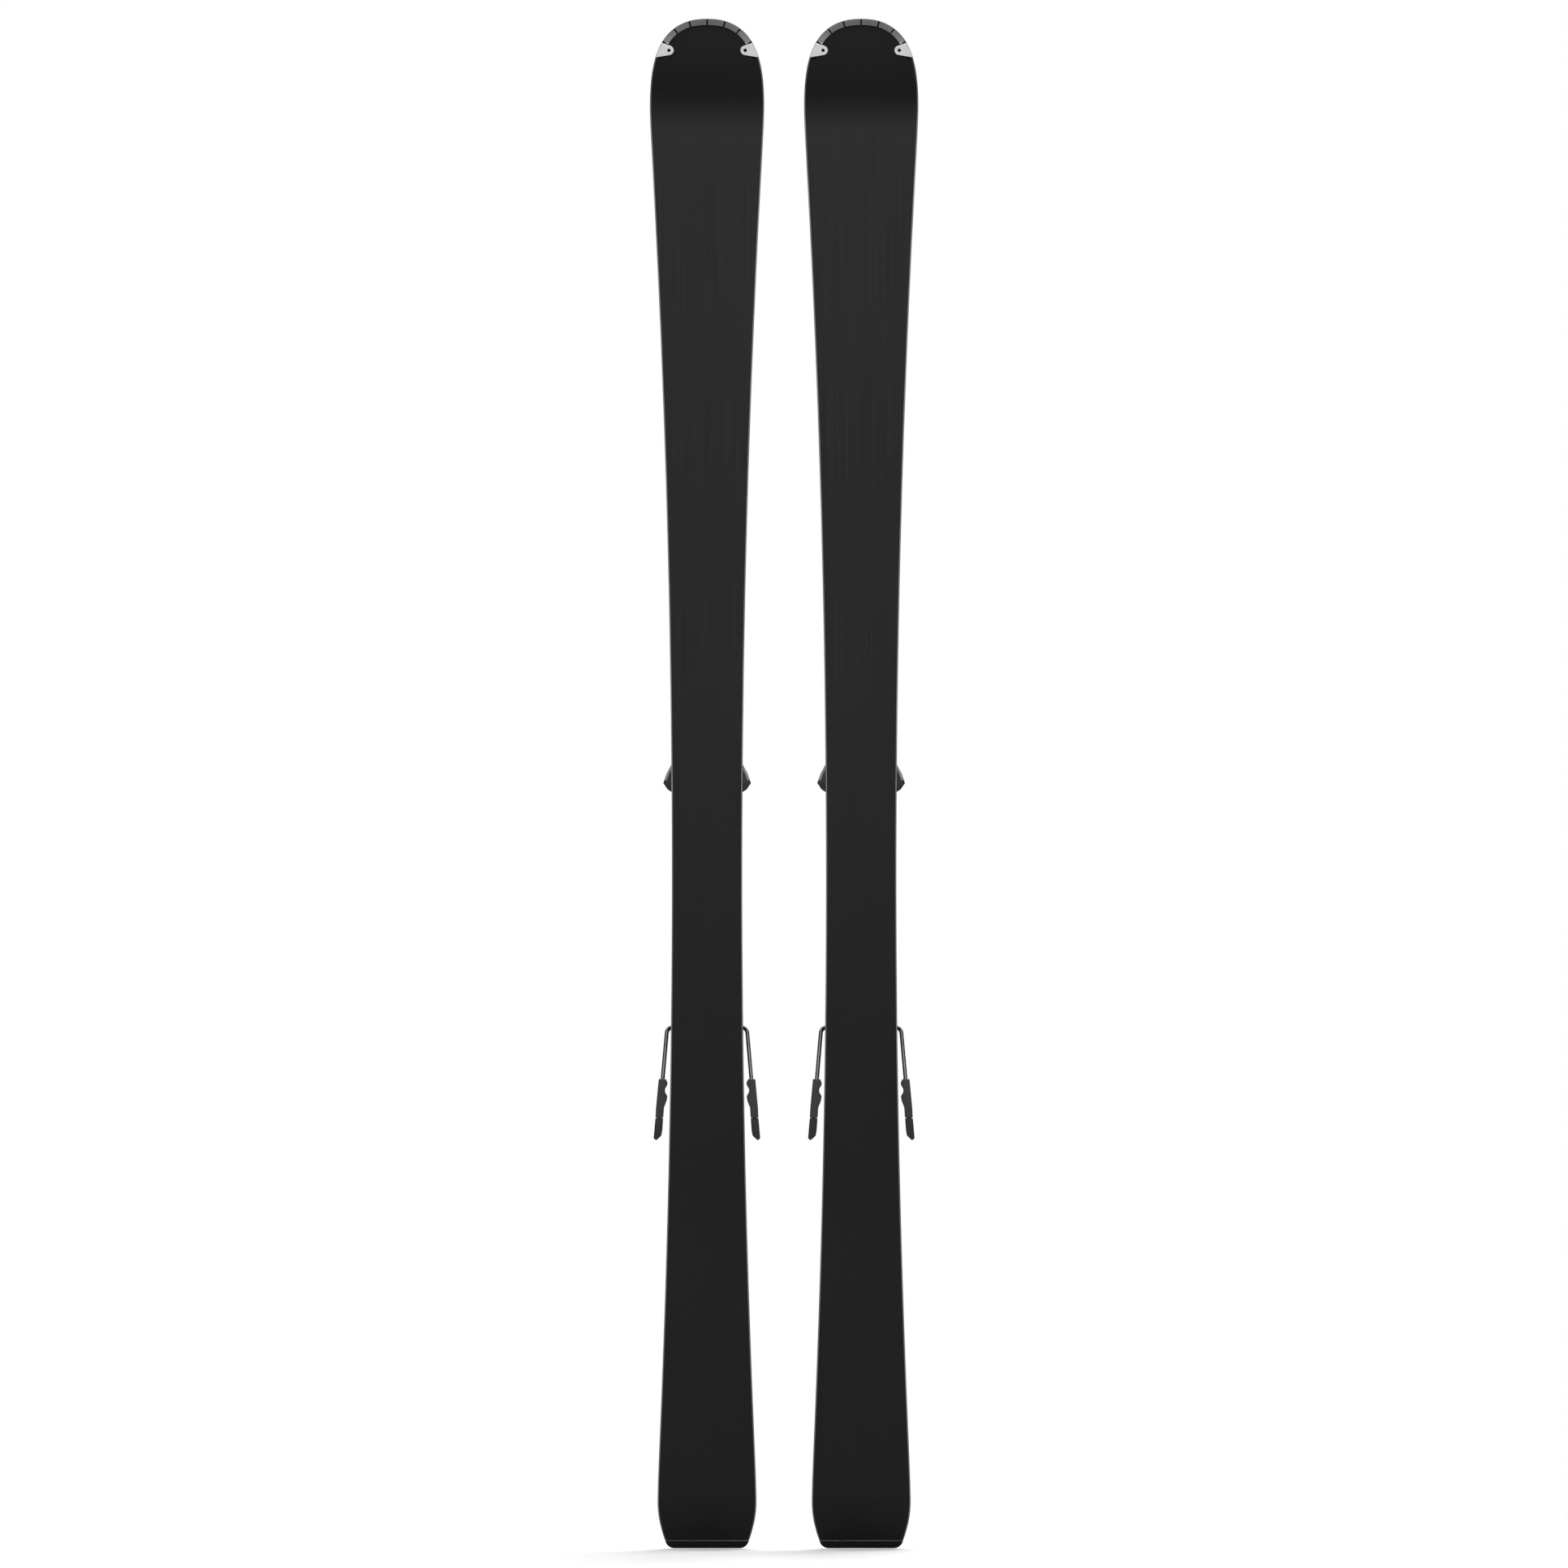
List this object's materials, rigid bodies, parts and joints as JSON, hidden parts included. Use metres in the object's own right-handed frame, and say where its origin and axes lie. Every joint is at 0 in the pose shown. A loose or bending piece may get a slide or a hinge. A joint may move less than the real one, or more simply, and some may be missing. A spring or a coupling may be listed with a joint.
{
  "type": "alpine skis with bindings",
  "caption": "Pair of shaped alpine carving skis standing upright side by side, with step-in toe and heel bindings, sprung ski brakes, steel edges and metal tip guards.",
  "frame": {"origin": "the point of the first ski's flat running base below the middle of the boot", "axes": "+Z along the skis to the tips, -Y out of the running bases, +X from the first ski to the second"},
  "size_m": [0.2806, 0.1563, 1.6],
  "materials": {
    "core": "wood core",
    "topsheet": "satin laminate",
    "base": "structured polyethylene",
    "edge": "ground steel",
    "tip_guard": "brushed",
    "tail_guard": "dark anodised",
    "plastic": "moulded",
    "grey_plastic": "moulded",
    "steel": "bright steel"
  },
  "bodies": {
    "ski1": {"ski1_core": "core", "ski1_topsheet": "topsheet", "ski1_base": "base", "ski1_edge_left": "edge", "ski1_edge_right": "edge", "ski1_tip_guard": "tip_guard", "ski1_tail_guard": "tail_guard", "ski1_binding_plate": "plastic", "ski1_toe_base": "plastic", "ski1_toe_housing": "plastic", "ski1_toe_pin_left": "steel", "ski1_toe_pin_right": "steel", "ski1_toe_spring": "steel"},
    "ski1_wing_left": {"ski1_toe_wing_left": "plastic"},
    "ski1_wing_right": {"ski1_toe_wing_right": "plastic"},
    "ski1_afd": {"ski1_afd_plate": "grey_plastic"},
    "ski1_t_piston": {"ski1_toe_piston": "steel"},
    "ski1_toe_adjuster": {"ski1_toe_screw": "steel"},
    "ski1_heel_carriage": {"ski1_heel_track": "plastic", "ski1_heel_pin": "steel"},
    "ski1_latch": {"ski1_heel_latch": "grey_plastic"},
    "ski1_heel_cup": {"ski1_heel_housing": "plastic", "ski1_heel_spring": "steel"},
    "ski1_plunger": {"ski1_heel_piston": "steel"},
    "ski1_heel_adjuster": {"ski1_heel_screw": "steel"},
    "ski1_lever": {"ski1_heel_lever": "grey_plastic"},
    "ski1_brake": {"ski1_brake_pedal": "plastic", "ski1_brake_wire": "steel", "ski1_brake_foot_left": "grey_plastic", "ski1_brake_foot_right": "grey_plastic"},
    "ski2": {"ski2_core": "core", "ski2_topsheet": "topsheet", "ski2_base": "base", "ski2_edge_left": "edge", "ski2_edge_right": "edge", "ski2_tip_guard": "tip_guard", "ski2_tail_guard": "tail_guard", "ski2_binding_plate": "plastic", "ski2_toe_base": "plastic", "ski2_toe_housing": "plastic", "ski2_toe_pin_left": "steel", "ski2_toe_pin_right": "steel", "ski2_toe_spring": "steel"},
    "ski2_wing_left": {"ski2_toe_wing_left": "plastic"},
    "ski2_wing_right": {"ski2_toe_wing_right": "plastic"},
    "ski2_afd": {"ski2_afd_plate": "grey_plastic"},
    "ski2_t_piston": {"ski2_toe_piston": "steel"},
    "ski2_toe_adjuster": {"ski2_toe_screw": "steel"},
    "ski2_heel_carriage": {"ski2_heel_track": "plastic", "ski2_heel_pin": "steel"},
    "ski2_latch": {"ski2_heel_latch": "grey_plastic"},
    "ski2_heel_cup": {"ski2_heel_housing": "plastic", "ski2_heel_spring": "steel"},
    "ski2_plunger": {"ski2_heel_piston": "steel"},
    "ski2_heel_adjuster": {"ski2_heel_screw": "steel"},
    "ski2_lever": {"ski2_heel_lever": "grey_plastic"},
    "ski2_brake": {"ski2_brake_pedal": "plastic", "ski2_brake_wire": "steel", "ski2_brake_foot_left": "grey_plastic", "ski2_brake_foot_right": "grey_plastic"}
  },
  "joints": [
    {"name": "ski1_toe_wing_left_swing", "type": "hinge", "parent": "ski1", "child": "ski1_wing_left", "pos_m": [-0.018, 0.038, 0.172], "axis": [0, 1, 0], "range_deg": [0, 30], "stiffness_Nm_per_rad": 12, "springref_deg": -14.32},
    {"name": "ski1_toe_wing_right_swing", "type": "hinge", "parent": "ski1", "child": "ski1_wing_right", "pos_m": [0.018, 0.038, 0.172], "axis": [0, -1, 0], "range_deg": [0, 30], "stiffness_Nm_per_rad": 12, "springref_deg": -14.32},
    {"name": "ski1_toe_piston_slide", "type": "slide", "parent": "ski1", "child": "ski1_t_piston", "axis": [0, 0, -1], "range_m": [0, 0.0041], "deforming": ["ski1_toe_spring"]},
    {"name": "ski1_toe_screw_turn", "type": "hinge", "parent": "ski1", "child": "ski1_toe_adjuster", "pos_m": [0, 0.047, 0.2145], "axis": [0, 0, 1], "range_deg": [-360, 360]},
    {"name": "ski1_afd_slide", "type": "slide", "parent": "ski1", "child": "ski1_afd", "axis": [1, 0, 0], "range_m": [-0.008, 0.008], "stiffness_N_per_m": 600},
    {"name": "ski1_heel_track_slide", "type": "slide", "parent": "ski1", "child": "ski1_heel_carriage", "axis": [0, 0, 1], "range_m": [-0.012, 0.012]},
    {"name": "ski1_heel_latch_lift", "type": "hinge", "parent": "ski1_heel_carriage", "child": "ski1_latch", "pos_m": [0, 0.028, -0.224], "axis": [1, 0, 0], "range_deg": [0, 18], "stiffness_Nm_per_rad": 0.5, "springref_deg": -28.65},
    {"name": "ski1_heel_step_in", "type": "hinge", "parent": "ski1_heel_carriage", "child": "ski1_heel_cup", "pos_m": [0, 0.056, -0.182], "axis": [-1, 0, 0], "range_deg": [0, 36], "stiffness_Nm_per_rad": 10, "springref_deg": -17.19},
    {"name": "ski1_heel_piston_slide", "type": "slide", "parent": "ski1_heel_cup", "child": "ski1_plunger", "axis": [0, 0, -1], "range_m": [0, 0.0046], "deforming": ["ski1_heel_spring"]},
    {"name": "ski1_heel_screw_turn", "type": "hinge", "parent": "ski1_heel_cup", "child": "ski1_heel_adjuster", "pos_m": [0, 0.056, -0.22], "axis": [0, 0, 1], "range_deg": [-360, 360]},
    {"name": "ski1_heel_lever_press", "type": "hinge", "parent": "ski1_heel_cup", "child": "ski1_lever", "pos_m": [0, 0.08, -0.188], "axis": [-1, 0, 0], "range_deg": [0, 20], "stiffness_Nm_per_rad": 0.5, "springref_deg": -34.38},
    {"name": "ski1_brake_swing", "type": "hinge", "parent": "ski1_heel_carriage", "child": "ski1_brake", "pos_m": [0, 0.028, -0.1113], "axis": [1, 0, 0], "range_deg": [0, 36], "stiffness_Nm_per_rad": 2.5, "springref_deg": -28.65},
    {"name": "ski2_toe_wing_left_swing", "type": "hinge", "parent": "ski2", "child": "ski2_wing_left", "pos_m": [0.1432, 0.038, 0.172], "axis": [0, 1, 0], "range_deg": [0, 30], "stiffness_Nm_per_rad": 12, "springref_deg": -14.32},
    {"name": "ski2_toe_wing_right_swing", "type": "hinge", "parent": "ski2", "child": "ski2_wing_right", "pos_m": [0.1792, 0.038, 0.172], "axis": [0, -1, 0], "range_deg": [0, 30], "stiffness_Nm_per_rad": 12, "springref_deg": -14.32},
    {"name": "ski2_toe_piston_slide", "type": "slide", "parent": "ski2", "child": "ski2_t_piston", "axis": [0, 0, -1], "range_m": [0, 0.0041], "deforming": ["ski2_toe_spring"]},
    {"name": "ski2_toe_screw_turn", "type": "hinge", "parent": "ski2", "child": "ski2_toe_adjuster", "pos_m": [0.1612, 0.047, 0.2145], "axis": [0, 0, 1], "range_deg": [-360, 360]},
    {"name": "ski2_afd_slide", "type": "slide", "parent": "ski2", "child": "ski2_afd", "axis": [1, 0, 0], "range_m": [-0.008, 0.008], "stiffness_N_per_m": 600},
    {"name": "ski2_heel_track_slide", "type": "slide", "parent": "ski2", "child": "ski2_heel_carriage", "axis": [0, 0, 1], "range_m": [-0.012, 0.012]},
    {"name": "ski2_heel_latch_lift", "type": "hinge", "parent": "ski2_heel_carriage", "child": "ski2_latch", "pos_m": [0.1612, 0.028, -0.224], "axis": [1, 0, 0], "range_deg": [0, 18], "stiffness_Nm_per_rad": 0.5, "springref_deg": -28.65},
    {"name": "ski2_heel_step_in", "type": "hinge", "parent": "ski2_heel_carriage", "child": "ski2_heel_cup", "pos_m": [0.1612, 0.056, -0.182], "axis": [-1, 0, 0], "range_deg": [0, 36], "stiffness_Nm_per_rad": 10, "springref_deg": -17.19},
    {"name": "ski2_heel_piston_slide", "type": "slide", "parent": "ski2_heel_cup", "child": "ski2_plunger", "axis": [0, 0, -1], "range_m": [0, 0.0046], "deforming": ["ski2_heel_spring"]},
    {"name": "ski2_heel_screw_turn", "type": "hinge", "parent": "ski2_heel_cup", "child": "ski2_heel_adjuster", "pos_m": [0.1612, 0.056, -0.22], "axis": [0, 0, 1], "range_deg": [-360, 360]},
    {"name": "ski2_heel_lever_press", "type": "hinge", "parent": "ski2_heel_cup", "child": "ski2_lever", "pos_m": [0.1612, 0.08, -0.188], "axis": [-1, 0, 0], "range_deg": [0, 20], "stiffness_Nm_per_rad": 0.5, "springref_deg": -34.38},
    {"name": "ski2_brake_swing", "type": "hinge", "parent": "ski2_heel_carriage", "child": "ski2_brake", "pos_m": [0.1612, 0.028, -0.1113], "axis": [1, 0, 0], "range_deg": [0, 36], "stiffness_Nm_per_rad": 2.5, "springref_deg": -28.65},
    {"name": "ski2_lift", "type": "slide", "parent": "ski1", "child": "ski2", "axis": [0, 0, 1], "range_m": [0, 0.3]}
  ],
  "couplings": [
    {"joint": "ski1_toe_piston_slide", "follows": "ski1_toe_wing_left_swing", "m_per_rad": 0.00764},
    {"joint": "ski1_heel_piston_slide", "follows": "ski1_heel_step_in", "m_per_rad": 0.00716},
    {"joint": "ski2_toe_piston_slide", "follows": "ski2_toe_wing_left_swing", "m_per_rad": 0.00764},
    {"joint": "ski2_heel_piston_slide", "follows": "ski2_heel_step_in", "m_per_rad": 0.00716}
  ]
}
